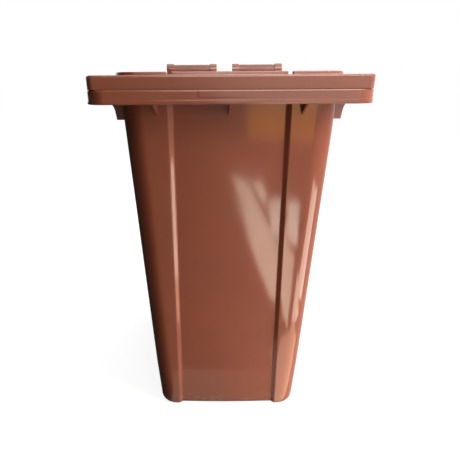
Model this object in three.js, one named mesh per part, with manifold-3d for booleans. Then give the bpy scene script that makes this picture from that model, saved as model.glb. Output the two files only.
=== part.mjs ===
// Two-wheeled bin of 240 litres with a comb rim: body, lid, hinge pins, handle bars, axle and wheels.
// Millimetres, +Z up, front towards -Y. The origin is on the ground, in the middle of the bin's box.

import * as THREE from 'three';
import { mergeVertices } from 'three/addons/utils/BufferGeometryUtils.js';
import Module from 'manifold-3d';

const wasm = await Module();
wasm.setup();

// ---------------------------------------------------------------- driving dimensions

const GAP = 0.35; // clearance between touching pieces
const WALL = 4.5; // wall of the mouldings

const RIM_WIDTH = 590; // whole width, over the bead of the comb rim
const RIM_FRONT = -362; // y of the rim's front
const RIM_REAR = 288;
const RIM_TOP = 957;
const RIM_BOTTOM = 929;
const RIM_CORNER = 44; // plan radius of the rim's front corners
const RIM_REAR_CORNER = 30;
const BEAD_HEIGHT = 9; // bead along the rim's lower edge
const BEAD_PROUD = 0.6;
const RIM_CHAMFER = 1.5; // along the rim's top edge
const PAD_WIDTH = 128; // raised pad in the middle of the rim's front
const PAD_HEIGHT = 14;

const UPSTAND_TOP = 976; // wall's top edge, inside the lid
const BODY_HALF_WIDTH_BASE = 213.5;
const BODY_HALF_WIDTH_KINK = 220.4; // at KINK_HEIGHT, where the walls' slope changes
const BODY_HALF_WIDTH_TOP = 237.5; // at the height RIM_TOP
const BODY_FRONT_BASE = -235;
const BODY_FRONT_KINK = -246.5; // y of the front wall at KINK_HEIGHT
const BODY_FRONT_TOP = -317;
const BODY_REAR_BASE = 238;
const BODY_REAR_TOP = 278;
const KINK_HEIGHT = 159;
const BODY_CORNER = 52;
const BASE_FILLET = 15;
const FLOOR_TOP = 10.5;
const BASE_RECESS_DEPTH = 5;
const BAY_CEILING = 150; // the axle runs behind the base, under this height
const GUSSET_THICK = 5;
const FRONT_GUSSET_X = [-155, 0, 155];
const FRONT_GUSSET_FOOT = 905; // z of the gussets' lower ends
const SIDE_GUSSET_Y = [-250, -100, 50, 200];
const SIDE_GUSSET_FOOT = 890;
const SIDE_GUSSET_REACH = 35; // from the wall to the skirt

const PANEL_HALF_TOP = 120.5; // recessed front panel, half width at RIM_TOP
const PANEL_HALF_BASE = 142;
const PANEL_DEPTH = 7;
const PANEL_STEP = 9.5; // width of the sloping step beside the panel

const AXLE_Y = 253;
const AXLE_Z = 100;
const AXLE_RADIUS = 11;
const AXLE_HALF = 284;
const WHEEL_RADIUS = 100;
const TYRE_INNER = 80;
const TYRE_IN_X = 240; // inner and outer face of the tyre
const TYRE_OUT_X = 286;
const BEARING_RIB_X = [60, 208]; // inner face of the axle ribs
const BEARING_RIB_THICK = 9;
const RUN = 0.3; // clearance of the turning parts, on the radius
const BARREL_RADIUS = 23; // hub's barrel
const BARREL_END = 274;
const BUSH_RADIUS = 15;
const SLEEVE_RADIUS = 16;
const CAP_RADIUS = 27;
const CAP_SEAT = 280; // x of the face that the cap's flange sits on
const SPOKES = 8;

const LID_HALF_WIDTH = 286.5;
const LID_FRONT = -357;
const LID_REAR = 288;
const LID_TOP = 984;
const LID_BOTTOM = RIM_TOP + GAP;
const LID_PLATE = 4;
const LID_CORNER = 16;
const LID_REAR_CORNER = 12;
const LID_FILLET = 5;
const LID_REAR_SKIRT_BOTTOM = 965;
const RIDGE_TOP = 990.5; // raised ridge on the lid
const RIDGE_WIDTH = 14;
const RIDGE_CORNER = 54; // plan radius over its outer edge
const RIDGE_FRONT = -317;
const RIDGE_REAR = 236;
const RIDGE_HALF_WIDTH = 244.5;
const DRAIN_GAP = [119.5, 129]; // |x| of the drain gaps through the ridge's front run

const HINGE_Y = 346;
const HINGE_Z = 983;
const KNUCKLE_RADIUS = 11;
const PIN_RADIUS = 6;
const PIN_HOLE = 6.25;
const CENTRE_KNUCKLE_HALF = 26.6;
const OUTER_KNUCKLE = [208.2, 222];

const GRIP_Y = 340;
const GRIP_Z = 1004.5;
const GRIP_RADIUS = 18.5;
const GRIP_BORE = 9;
const LUG_HEAD_RADIUS = 22.5; // top of the lugs is GRIP_Z + LUG_HEAD_RADIUS
const LUG_HEAD_REACH = 20.5; // half length of a head, along Y
const LUG_INNER = [27.2, 53]; // |x| span of the head of each lug
const LUG_OUTER = [180, 207.4];
const LUG_WEB = 8; // thickness of the web under each head
const LUG_FOOT = 850; // z where the webs leave the rear wall
const SOCKET_DEPTH = 3; // how far a handle bar sits in each lug

const CHIP_X = 82; // plug under the rim's front
const CHIP_RADIUS = 15;
const CHIP_BOTTOM = 937;

const BROWN = 0x7d4836;
const BLACK = 0x1b1b1c;
const RUBBER = 0x232323;
const STEEL = 0xa9abad;

// ---------------------------------------------------------------- solids

// A closed geometry as a manifold solid.
function toSolid(geometry) {
  const bare = geometry.clone();
  bare.deleteAttribute('normal');
  bare.deleteAttribute('uv');
  const merged = mergeVertices(bare, 1e-4);
  const mesh = new wasm.Mesh({
    numProp: 3,
    vertProperties: new Float32Array(merged.attributes.position.array),
    triVerts: new Uint32Array(merged.index.array),
  });
  return new wasm.Manifold(mesh);
}

function toGeometry(solid) {
  const mesh = solid.getMesh();
  const geometry = new THREE.BufferGeometry();
  geometry.setAttribute('position', new THREE.BufferAttribute(new Float32Array(mesh.vertProperties), 3));
  geometry.setIndex(new THREE.BufferAttribute(new Uint32Array(mesh.triVerts), 1));
  geometry.computeVertexNormals();
  return geometry;
}

function join(solids) {
  return solids.reduce((whole, solid) => whole.add(solid));
}

function cut(solid, tools) {
  return tools.reduce((rest, tool) => rest.subtract(tool), solid);
}

// Moves each vertex of a geometry to the place that the function gives.
function reshape(geometry, place) {
  const position = geometry.attributes.position;
  for (let i = 0; i < position.count; i += 1) {
    const [x, y, z] = place(position.getX(i), position.getY(i), position.getZ(i));
    position.setXYZ(i, x, y, z);
  }
  return geometry;
}

function outline(points) {
  return new THREE.Shape(points.map(([a, b]) => new THREE.Vector2(a, b)));
}

// Rectangle in plan, symmetric about x = 0, with one radius in front and one behind.
function roundedPlan(half, front, rear, frontRadius, rearRadius) {
  const shape = new THREE.Shape();
  shape.moveTo(-half + frontRadius, front);
  shape.lineTo(half - frontRadius, front);
  shape.absarc(half - frontRadius, front + frontRadius, frontRadius, -Math.PI / 2, 0, false);
  shape.lineTo(half, rear - rearRadius);
  shape.absarc(half - rearRadius, rear - rearRadius, rearRadius, 0, Math.PI / 2, false);
  shape.lineTo(-half + rearRadius, rear);
  shape.absarc(-half + rearRadius, rear - rearRadius, rearRadius, Math.PI / 2, Math.PI, false);
  shape.lineTo(-half, front + frontRadius);
  shape.absarc(-half + frontRadius, front + frontRadius, frontRadius, Math.PI, Math.PI * 1.5, false);
  return shape;
}

// Upright prism through the given heights; place(x, y, z) moves the plan's points at each height.
function loft(shape, heights, place = (x, y) => [x, y]) {
  const steps = heights.length - 1;
  const geometry = new THREE.ExtrudeGeometry(shape, {
    depth: steps,
    steps,
    bevelEnabled: false,
    curveSegments: 4,
  });
  return toSolid(reshape(geometry, (x, y, level) => {
    const z = heights[Math.round(level)];
    return [...place(x, y, z), z];
  }));
}

// Plate of constant section: the outline holds (y, z) points, and the plate runs from x0 to x1.
function plateAlongX(shape, x0, x1) {
  const geometry = new THREE.ExtrudeGeometry(shape, { depth: x1 - x0, bevelEnabled: false, curveSegments: 5 });
  return toSolid(reshape(geometry, (a, b, c) => [x0 + c, a, b]));
}

// Plate of constant section: the outline holds (x, z) points, and the plate runs from y0 to y1.
function plateAlongY(shape, y0, y1) {
  const geometry = new THREE.ExtrudeGeometry(shape, { depth: y1 - y0, bevelEnabled: false, curveSegments: 5 });
  return toSolid(reshape(geometry, (a, b, c) => [a, y1 - c, b]));
}

// Solid of revolution about an axis along X through (y, z); the profile holds (radius, x) points.
function turned(profile, y, z, segments) {
  const geometry = new THREE.LatheGeometry(profile.map(([r, x]) => new THREE.Vector2(r, x)), segments);
  return toSolid(reshape(geometry, (a, b, c) => [b, y + c, z + a]));
}

function rod(radius, x0, x1, y, z, segments = 24) {
  return turned([[0, x0], [radius, x0], [radius, x1], [0, x1]], y, z, segments);
}

function tube(outer, inner, x0, x1, y, z, segments = 24) {
  return turned([[inner, x0], [outer, x0], [outer, x1], [inner, x1], [inner, x0]], y, z, segments);
}

// The same solid on the other side of x = 0.
function mirrored(solid) {
  return solid.mirror([1, 0, 0]);
}

function bothSides(solid) {
  return [solid, mirrored(solid)];
}

// ---------------------------------------------------------------- body

const mix = THREE.MathUtils.lerp;

// Value at a height that goes in two straight runs from the base through KINK_HEIGHT to RIM_TOP.
function kinked(z, base, kink, top) {
  if (z < KINK_HEIGHT) {
    return mix(base, kink, z / KINK_HEIGHT);
  }
  return mix(kink, top, (z - KINK_HEIGHT) / (RIM_TOP - KINK_HEIGHT));
}

function bodyHalfWidth(z) {
  return kinked(z, BODY_HALF_WIDTH_BASE, BODY_HALF_WIDTH_KINK, BODY_HALF_WIDTH_TOP);
}

function bodyFront(z) {
  return kinked(z, BODY_FRONT_BASE, BODY_FRONT_KINK, BODY_FRONT_TOP);
}

function bodyRear(z) {
  return mix(BODY_REAR_BASE, BODY_REAR_TOP, z / RIM_TOP);
}

function panelHalfWidth(z) {
  return mix(PANEL_HALF_BASE, PANEL_HALF_TOP, z / RIM_TOP);
}

// How far a fillet of the given radius draws the outline in, at a height above its lower end.
function filletInset(radius, height) {
  const left = Math.max(radius - height, 0);
  return radius - Math.sqrt(radius * radius - left * left);
}

// The body's tapered form, drawn in by inset all round.
function taperedForm(heights, inset, fillet) {
  const radius = BODY_CORNER - inset;
  const plan = roundedPlan(100, -100, 100, radius, radius);
  return loft(plan, heights, (x, y, z) => {
    const draw = inset + filletInset(fillet, z);
    const sideways = Math.sign(x) * (bodyHalfWidth(z) - draw - 100);
    const lengthways = y < 0 ? bodyFront(z) + draw + 100 : bodyRear(z) - draw - 100;
    return [x + sideways, y + lengthways];
  });
}

// Prism that recesses the front panel; set back by inset for the inner face of the wall.
function panelTool(inset, bottom, top) {
  const planHalf = 50;
  const right = [
    [planHalf + PANEL_STEP + inset / 2, -30],
    [planHalf + PANEL_STEP + inset / 2, inset],
    [planHalf - inset / 2, PANEL_DEPTH + inset],
  ];
  const left = right.map(([x, y]) => [-x, y]).reverse();
  return loft(outline([...right, ...left]), [bottom, KINK_HEIGHT, top], (x, y, z) => [
    x + Math.sign(x) * (panelHalfWidth(z) - planHalf),
    y + bodyFront(z),
  ]);
}

// Space behind the base, where the axle runs; set back by inset for the inner face of the wall.
function axleBay(inset) {
  const ceiling = BAY_CEILING + inset;
  return plateAlongX(outline([
    [128 - inset, -5],
    [300, -5],
    [300, ceiling + 13],
    [245, ceiling + 13],
    [168 - inset, ceiling],
  ]), -300, 300);
}

function shell() {
  const outside = cut(taperedForm([0, 1.5, 6, BASE_FILLET, KINK_HEIGHT, UPSTAND_TOP], 0, BASE_FILLET), [
    panelTool(0, -5, UPSTAND_TOP + 5),
    axleBay(0),
  ]);
  const inside = cut(taperedForm([FLOOR_TOP, KINK_HEIGHT, UPSTAND_TOP + 4], WALL, 0), [
    panelTool(WALL, 0, UPSTAND_TOP + 10),
    axleBay(WALL + 0.3),
  ]);
  return { outside, inside };
}

function rimPlan(inset) {
  const half = RIM_WIDTH / 2 - inset;
  return roundedPlan(half, RIM_FRONT + inset, RIM_REAR - inset, RIM_CORNER - inset, RIM_REAR_CORNER - inset);
}

// Comb rim: a flange all round with a skirt that hangs down from its edge.
function combRim() {
  const face = loft(rimPlan(BEAD_PROUD), [RIM_BOTTOM, RIM_TOP - RIM_CHAMFER, RIM_TOP], (x, y, z) => {
    const draw = z === RIM_TOP ? RIM_CHAMFER : 0;
    return [x - Math.sign(x) * draw, y - Math.sign(y) * draw];
  });
  const bead = loft(rimPlan(0), [RIM_BOTTOM, RIM_BOTTOM + BEAD_HEIGHT]);
  const pad = plateAlongX(outline([
    [RIM_FRONT, RIM_TOP - PAD_HEIGHT],
    [RIM_FRONT + WALL, RIM_TOP - PAD_HEIGHT],
    [RIM_FRONT + WALL, RIM_TOP],
    [RIM_FRONT, RIM_TOP],
  ]), -PAD_WIDTH / 2, PAD_WIDTH / 2);
  const channel = loft(rimPlan(BEAD_PROUD + WALL), [RIM_BOTTOM - 1, RIM_TOP - WALL]);
  return cut(join([face, bead, pad]), [channel]);
}

// Gussets between the wall and the rim's underside.
function rimGussets() {
  const half = GUSSET_THICK / 2;
  const flange = RIM_TOP - WALL / 2;
  const foot = bodyFront(FRONT_GUSSET_FOOT);
  const insideWall = foot + PANEL_DEPTH + 3;
  const frontPlate = outline([
    [RIM_FRONT + 3, flange],
    [RIM_FRONT + 3, RIM_BOTTOM + 1],
    [foot + 0.5, FRONT_GUSSET_FOOT],
    [insideWall, FRONT_GUSSET_FOOT],
    [insideWall, flange],
  ]);
  const front = FRONT_GUSSET_X.map((x) => plateAlongX(frontPlate, x - half, x + half));
  const wall = bodyHalfWidth(SIDE_GUSSET_FOOT);
  const sidePlate = outline([
    [wall - 2, SIDE_GUSSET_FOOT],
    [wall + 20, SIDE_GUSSET_FOOT],
    [wall + 22, SIDE_GUSSET_FOOT + 14],
    [wall + 29, SIDE_GUSSET_FOOT + 32],
    [wall + SIDE_GUSSET_REACH, RIM_BOTTOM + 3],
    [wall + SIDE_GUSSET_REACH, flange],
    [wall - 2, flange],
  ]);
  const side = SIDE_GUSSET_Y.map((y) => plateAlongY(sidePlate, y - half, y + half));
  return [...front, ...side, ...side.map(mirrored)];
}

// Web that carries a handle bar and a hinge boss, from the rear wall to behind the bar.
function lugWeb(x0, x1) {
  const insideWall = bodyRear(LUG_FOOT) - 2;
  const underFlange = RIM_TOP - 2;
  const shape = new THREE.Shape();
  shape.moveTo(insideWall, LUG_FOOT);
  shape.lineTo(RIM_REAR + 12, LUG_FOOT + 30);
  shape.lineTo(HINGE_Y + 8, HINGE_Z - 26);
  shape.lineTo(GRIP_Y + LUG_HEAD_REACH, GRIP_Z - 6);
  shape.lineTo(GRIP_Y + LUG_HEAD_REACH, GRIP_Z);
  shape.absarc(GRIP_Y, GRIP_Z, LUG_HEAD_REACH, 0, Math.PI, false);
  shape.lineTo(GRIP_Y - LUG_HEAD_REACH, GRIP_Z - 8);
  shape.lineTo(RIM_REAR + 6, HINGE_Z - 15);
  shape.lineTo(RIM_REAR + 2, underFlange);
  shape.lineTo(insideWall, underFlange);
  return plateAlongX(shape, x0, x1);
}

// Head of a lug: half round on top, with a block below that narrows to the hinge boss.
function lugHead(x0, x1) {
  const shape = new THREE.Shape();
  shape.moveTo(GRIP_Y + LUG_HEAD_REACH, GRIP_Z);
  shape.absellipse(GRIP_Y, GRIP_Z, LUG_HEAD_REACH, LUG_HEAD_RADIUS, 0, Math.PI, false);
  shape.lineTo(GRIP_Y - LUG_HEAD_REACH, HINGE_Z);
  shape.lineTo(HINGE_Y - KNUCKLE_RADIUS + 1, HINGE_Z - 6);
  shape.lineTo(HINGE_Y + KNUCKLE_RADIUS - 1, HINGE_Z - 2);
  return plateAlongX(shape, x0, x1);
}

function handleLugs() {
  const [innerStart, innerEnd] = LUG_INNER;
  const [outerStart, outerEnd] = LUG_OUTER;
  const boss = (x0, x1) => rod(KNUCKLE_RADIUS, x0, x1, HINGE_Y, HINGE_Z);
  const oneSide = join([
    lugWeb(innerEnd - LUG_WEB, innerEnd),
    lugHead(innerStart, innerEnd),
    boss(innerStart, innerEnd - LUG_WEB / 2),
    lugWeb(outerStart, outerStart + LUG_WEB),
    lugHead(outerStart, outerEnd),
    boss(outerStart + LUG_WEB / 2, outerEnd),
  ]);
  return bothSides(oneSide);
}

// Ribs that hold the axle behind the base.
function axleRibs() {
  const noseRadius = 24;
  const top = 230;
  const shape = new THREE.Shape();
  shape.moveTo(132, 30);
  shape.lineTo(AXLE_Y - 30, AXLE_Z - 23);
  shape.absarc(AXLE_Y, AXLE_Z, noseRadius, Math.PI * 1.25, Math.PI * 2, false);
  shape.lineTo(bodyRear(top) + 1, top);
  shape.lineTo(bodyRear(top) - 2, top);
  shape.lineTo(bodyRear(180) - 2, 166);
  shape.lineTo(166, 153);
  const ribs = BEARING_RIB_X.map((x) => plateAlongX(shape, x, x + BEARING_RIB_THICK));
  return [...ribs, ...ribs.map(mirrored)];
}

function chipSocket() {
  const y = (RIM_FRONT + BODY_FRONT_TOP) / 2;
  const disc = (radius, bottom, top) => {
    const geometry = new THREE.CylinderGeometry(radius, radius, top - bottom, 24);
    return toSolid(reshape(geometry, (a, b, c) => [CHIP_X + a, y - c, (top + bottom) / 2 + b]));
  };
  return {
    boss: disc(CHIP_RADIUS + 3, CHIP_BOTTOM + 1, RIM_TOP - WALL + 1),
    hole: disc(CHIP_RADIUS + RUN, CHIP_BOTTOM - 7, CHIP_BOTTOM + 13),
    plug: disc(CHIP_RADIUS, CHIP_BOTTOM, CHIP_BOTTOM + 12.5),
  };
}

function buildBody() {
  const { outside, inside } = shell();
  const whole = join([outside, combRim(), ...rimGussets(), ...handleLugs(), ...axleRibs(), chipSocket().boss]);
  const barRoom = rod(
    GRIP_RADIUS + GAP,
    LUG_INNER[1] - SOCKET_DEPTH,
    LUG_OUTER[0] + SOCKET_DEPTH,
    GRIP_Y,
    GRIP_Z,
  );
  const pinHoles = [
    rod(PIN_HOLE, -LUG_INNER[1] - 1, LUG_INNER[1] + 1, HINGE_Y, HINGE_Z),
    ...bothSides(rod(PIN_HOLE, LUG_OUTER[0] - 1, LUG_OUTER[1] + 1, HINGE_Y, HINGE_Z)),
  ];
  const axleHole = rod(AXLE_RADIUS + RUN, -230, 230, AXLE_Y, AXLE_Z);
  const footRecess = loft(roundedPlan(180, -196, 95, 20, 20), [-1, BASE_RECESS_DEPTH]);
  return cut(whole, [inside, ...bothSides(barRoom), ...pinHoles, axleHole, footRecess, chipSocket().hole]);
}

// ---------------------------------------------------------------- lid

function lidPlan(inset, cornerInset) {
  return roundedPlan(
    LID_HALF_WIDTH - inset,
    LID_FRONT + inset,
    LID_REAR - inset,
    LID_CORNER - cornerInset,
    LID_REAR_CORNER - cornerInset,
  );
}

// Raised ridge: a straight run in front and, past a drain gap, a hook at each side.
function lidRidges() {
  const [gapStart, gapEnd] = DRAIN_GAP;
  const inFront = RIDGE_FRONT + RIDGE_WIDTH;
  const inSide = RIDGE_HALF_WIDTH - RIDGE_WIDTH;
  const bendX = RIDGE_HALF_WIDTH - RIDGE_CORNER;
  const bendY = RIDGE_FRONT + RIDGE_CORNER;
  const hook = new THREE.Shape();
  hook.moveTo(gapEnd, RIDGE_FRONT);
  hook.lineTo(bendX, RIDGE_FRONT);
  hook.absarc(bendX, bendY, RIDGE_CORNER, -Math.PI / 2, 0, false);
  hook.lineTo(RIDGE_HALF_WIDTH, RIDGE_REAR);
  hook.lineTo(inSide, RIDGE_REAR);
  hook.lineTo(inSide, bendY);
  hook.absarc(bendX, bendY, RIDGE_CORNER - RIDGE_WIDTH, 0, -Math.PI / 2, true);
  hook.lineTo(gapEnd, inFront);
  const straight = outline([
    [-gapStart, RIDGE_FRONT],
    [gapStart, RIDGE_FRONT],
    [gapStart, inFront],
    [-gapStart, inFront],
  ]);
  const heights = [LID_TOP - 1, RIDGE_TOP];
  return [loft(straight, heights), ...bothSides(loft(hook, heights))];
}

// Arm from the lid's rear edge to a hinge knuckle.
function lidArm(x0, x1) {
  const shape = new THREE.Shape();
  shape.moveTo(LID_REAR - 14, LID_TOP);
  shape.lineTo(LID_REAR - 14, LID_TOP - LID_PLATE);
  shape.lineTo(LID_REAR - 2, HINGE_Z - KNUCKLE_RADIUS);
  shape.lineTo(HINGE_Y, HINGE_Z - KNUCKLE_RADIUS);
  shape.absarc(HINGE_Y, HINGE_Z, KNUCKLE_RADIUS, -Math.PI / 2, Math.PI / 2, false);
  shape.lineTo(LID_REAR + 20, LID_TOP + 2);
  return plateAlongX(shape, x0, x1);
}

function buildLid() {
  const filletHeights = [0, 1.5, LID_FILLET].map((drop) => LID_TOP - LID_FILLET + drop);
  const outside = loft(lidPlan(0, 0), [LID_BOTTOM, ...filletHeights], (x, y, z) => {
    const draw = filletInset(LID_FILLET, LID_TOP - z);
    return [x - Math.sign(x) * draw, y - Math.sign(y) * draw];
  });
  const inside = loft(lidPlan(WALL, WALL), [LID_BOTTOM - 2, LID_TOP - LID_PLATE]);
  const underRearSkirt = plateAlongX(outline([
    [LID_REAR - LID_REAR_CORNER, LID_BOTTOM - 2],
    [LID_REAR + 2, LID_BOTTOM - 2],
    [LID_REAR + 2, LID_REAR_SKIRT_BOTTOM],
    [LID_REAR - LID_REAR_CORNER, LID_REAR_SKIRT_BOTTOM],
  ]), -300, 300);
  const tray = cut(outside, [inside, underRearSkirt]);
  const arms = [lidArm(-CENTRE_KNUCKLE_HALF, CENTRE_KNUCKLE_HALF), ...bothSides(lidArm(...OUTER_KNUCKLE))];
  return cut(join([tray, ...lidRidges(), ...arms]), [rod(PIN_HOLE, -230, 230, HINGE_Y, HINGE_Z)]);
}

// ---------------------------------------------------------------- hinge pins and handle bars

function hingePinCentre() {
  const end = LUG_INNER[1] - SOCKET_DEPTH - GAP;
  return rod(PIN_RADIUS, -end, end, HINGE_Y, HINGE_Z);
}

// Headed pin, pushed in from outside through the lid's outer knuckle.
function hingePinOuter() {
  const tip = LUG_OUTER[0] + SOCKET_DEPTH + GAP;
  const head = OUTER_KNUCKLE[1] + GAP;
  return turned([
    [0, tip],
    [PIN_RADIUS - 1, tip],
    [PIN_RADIUS, tip + 2],
    [PIN_RADIUS, head],
    [PIN_RADIUS + 3.5, head],
    [PIN_RADIUS + 3.5, head + 2],
    [PIN_RADIUS + 1.5, head + 3.5],
    [0, head + 3.5],
  ], HINGE_Y, HINGE_Z, 24);
}

function handleBar() {
  const start = LUG_INNER[1] - SOCKET_DEPTH + GAP;
  const end = LUG_OUTER[0] + SOCKET_DEPTH - GAP;
  return tube(GRIP_RADIUS, GRIP_BORE, start, end, GRIP_Y, GRIP_Z);
}

// ---------------------------------------------------------------- axle and wheels, right-hand side

function spacerSleeve() {
  const start = BEARING_RIB_X[1] + BEARING_RIB_THICK + GAP;
  return tube(SLEEVE_RADIUS, AXLE_RADIUS + RUN, start, TYRE_IN_X - GAP, AXLE_Y, AXLE_Z);
}

function tyre() {
  const mid = (TYRE_IN_X + TYRE_OUT_X) / 2;
  const half = (TYRE_OUT_X - TYRE_IN_X) / 2;
  const profile = [
    [TYRE_INNER, -half + 4],
    [TYRE_INNER + 3, -half],
    [WHEEL_RADIUS - 9, -half],
    [WHEEL_RADIUS - 2.5, -half + 5],
    [WHEEL_RADIUS, -half + 12],
    [WHEEL_RADIUS, half - 12],
    [WHEEL_RADIUS - 2.5, half - 5],
    [WHEEL_RADIUS - 9, half],
    [TYRE_INNER + 3, half],
    [TYRE_INNER, half - 4],
    [TYRE_INNER, -half + 4],
  ];
  return turned(profile.map(([r, x]) => [r, mid + x]), AXLE_Y, AXLE_Z, 40);
}

function wheelHub() {
  const rimRadius = TYRE_INNER - GAP;
  const faceIn = TYRE_IN_X + 3;
  const faceOut = TYRE_OUT_X - 3;
  const disc = turned([
    [BUSH_RADIUS + RUN, TYRE_IN_X],
    [BARREL_RADIUS, TYRE_IN_X],
    [BARREL_RADIUS, 257],
    [70, 260],
    [72, faceIn],
    [rimRadius, faceIn],
    [rimRadius, faceOut],
    [73, faceOut],
    [70, 266],
    [CAP_RADIUS + 5, 264],
    [CAP_RADIUS + 4, CAP_SEAT],
    [CAP_RADIUS + GAP, CAP_SEAT],
    [CAP_RADIUS + GAP, BARREL_END - 2],
    [BARREL_RADIUS, BARREL_END - 2],
    [BARREL_RADIUS, BARREL_END],
    [BUSH_RADIUS + RUN, BARREL_END],
    [BUSH_RADIUS + RUN, TYRE_IN_X],
  ], AXLE_Y, AXLE_Z, 40);
  const spokes = Array.from({ length: SPOKES }, (_, k) => {
    const spoke = new THREE.BoxGeometry(13, 6, 42);
    spoke.translate(268, 0, 52);
    spoke.rotateX((k * 2 * Math.PI) / SPOKES);
    spoke.translate(0, AXLE_Y, AXLE_Z);
    return toSolid(spoke);
  });
  return join([disc, ...spokes]);
}

function hubBush() {
  const start = TYRE_IN_X + 0.5;
  const end = BARREL_END + 2;
  return turned([
    [AXLE_RADIUS + RUN, start],
    [BUSH_RADIUS, start],
    [BUSH_RADIUS, BARREL_END + GAP],
    [BUSH_RADIUS + 4, BARREL_END + GAP],
    [BUSH_RADIUS + 4, end],
    [AXLE_RADIUS + RUN, end],
    [AXLE_RADIUS + RUN, start],
  ], AXLE_Y, AXLE_Z, 24);
}

function axleWasher() {
  return tube(18, AXLE_RADIUS + RUN, BARREL_END + 2.4, BARREL_END + 4.2, AXLE_Y, AXLE_Z);
}

// Push-on clip that grips the end of the axle.
function axleClip() {
  const inner = AXLE_RADIUS + 0.1;
  const start = BARREL_END + 4.5;
  return turned([
    [inner, start + 1.5],
    [inner + 3, start],
    [inner + 6, start],
    [inner + 6, start + 1.2],
    [inner + 3.4, start + 1.2],
    [inner, start + 2.7],
    [inner, start + 1.5],
  ], AXLE_Y, AXLE_Z, 24);
}

// Snap-in cap over the axle's end.
function hubCap() {
  const rim = CAP_RADIUS;
  return turned([
    [0, 290.6],
    [rim - 8, 290.6],
    [rim - 1, 288.6],
    [rim + 3, 283],
    [rim + 3, CAP_SEAT + GAP],
    [rim, CAP_SEAT + GAP],
    [rim, CAP_SEAT - 7],
    [rim - 3, CAP_SEAT - 7],
    [rim - 3, 284],
    [rim - 8, 287],
    [0, 288],
  ].reverse(), AXLE_Y, AXLE_Z, 24);
}

// ---------------------------------------------------------------- assembly

const bin = new THREE.Group();

function addPiece(name, solid, color, roughness, metalness = 0) {
  const material = new THREE.MeshStandardMaterial({ color, roughness, metalness });
  const mesh = new THREE.Mesh(toGeometry(solid), material);
  mesh.name = name;
  bin.add(mesh);
}

function addPair(name, solid, color, roughness, metalness = 0) {
  addPiece(`${name}_right`, solid, color, roughness, metalness);
  addPiece(`${name}_left`, mirrored(solid), color, roughness, metalness);
}

addPiece('bin_body', buildBody(), BROWN, 0.35);
addPiece('lid', buildLid(), BROWN, 0.38);
addPiece('hinge_pin_centre', hingePinCentre(), BROWN, 0.5);
addPair('hinge_pin', hingePinOuter(), BROWN, 0.5);
addPair('handle_bar', handleBar(), BROWN, 0.6);
addPiece('chip_nest_plug', chipSocket().plug, BLACK, 0.5);
addPiece('axle', rod(AXLE_RADIUS, -AXLE_HALF, AXLE_HALF, AXLE_Y, AXLE_Z), STEEL, 0.35, 1);
addPair('spacer_sleeve', spacerSleeve(), BLACK, 0.5);
addPair('tyre', tyre(), RUBBER, 0.85);
addPair('wheel_hub', wheelHub(), BLACK, 0.5);
addPair('hub_bush', hubBush(), BLACK, 0.4);
addPair('axle_washer', axleWasher(), STEEL, 0.4, 1);
addPair('axle_clip', axleClip(), STEEL, 0.3, 1);
addPair('hub_cap', hubCap(), BLACK, 0.45);

export default bin;
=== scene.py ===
"""Looks of the 240-litre two-wheeled bin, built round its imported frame.

Shapes are worked out in millimetres in the frame's own axes (front towards -Y, +Z up) and turned into
metres when a mesh is made.
"""

import math

import bmesh
import bpy
from mathutils import Matrix, Vector


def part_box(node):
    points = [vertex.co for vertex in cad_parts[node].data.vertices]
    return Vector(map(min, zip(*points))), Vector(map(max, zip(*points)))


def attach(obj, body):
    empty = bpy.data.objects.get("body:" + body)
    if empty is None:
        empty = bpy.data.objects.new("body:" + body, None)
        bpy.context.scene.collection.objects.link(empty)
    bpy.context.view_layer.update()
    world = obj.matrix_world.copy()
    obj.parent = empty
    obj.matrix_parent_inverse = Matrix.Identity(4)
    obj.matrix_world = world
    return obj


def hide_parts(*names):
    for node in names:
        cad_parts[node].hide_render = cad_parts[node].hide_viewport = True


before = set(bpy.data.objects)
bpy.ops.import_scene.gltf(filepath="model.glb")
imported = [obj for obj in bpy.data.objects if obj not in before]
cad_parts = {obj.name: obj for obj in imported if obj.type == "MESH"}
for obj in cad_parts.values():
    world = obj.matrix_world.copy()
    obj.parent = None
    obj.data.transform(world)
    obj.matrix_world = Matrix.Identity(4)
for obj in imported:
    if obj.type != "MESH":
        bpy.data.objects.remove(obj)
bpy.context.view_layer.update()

MM = 0.001


def box_mm(node):
    """Lowest and highest corner of a CAD node, in millimetres."""
    low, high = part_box(node)
    return Vector(low) / MM, Vector(high) / MM


# ---------- driving dimensions, from the frame

BODY_LOW, BODY_HIGH = box_mm("bin_body")
LID_LOW, LID_HIGH = box_mm("lid")
TYRE_LOW, TYRE_HIGH = box_mm("tyre_right")
AXLE_LOW, AXLE_HIGH = box_mm("axle")
PIN_LOW, PIN_HIGH = box_mm("hinge_pin_centre")
BAR_LOW, BAR_HIGH = box_mm("handle_bar_right")

GAP = 0.35                # clearance between touching pieces
RUN = 0.3                 # clearance of the holes for the axle, the bushes and the plug
PIN_RUN = 0.25            # clearance of the holes for the hinge pins
ON_AXIS = 0.01            # radius that stands for 0 while a profile's corners are rounded
NO_STEP = (100, 9, 0)     # step of no depth, for loops that have none
WALL = 4.5
RIM_HALF = BODY_HIGH.x    # over the bead of the comb rim
RIM_FRONT = BODY_LOW.y
RIM_TOP = LID_LOW.z - GAP
RIM_REAR = 288
RIM_BOTTOM = RIM_TOP - 28
RIM_CORNER = 44
RIM_REAR_CORNER = 30
BEAD_HEIGHT = 9
BEAD_PROUD = 0.6
RIM_ROUND = 4.0           # rounding along the rim's top edge
PAD_HALF = 64             # raised pad in the middle of the rim's front
PAD_HEIGHT = 14

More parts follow.
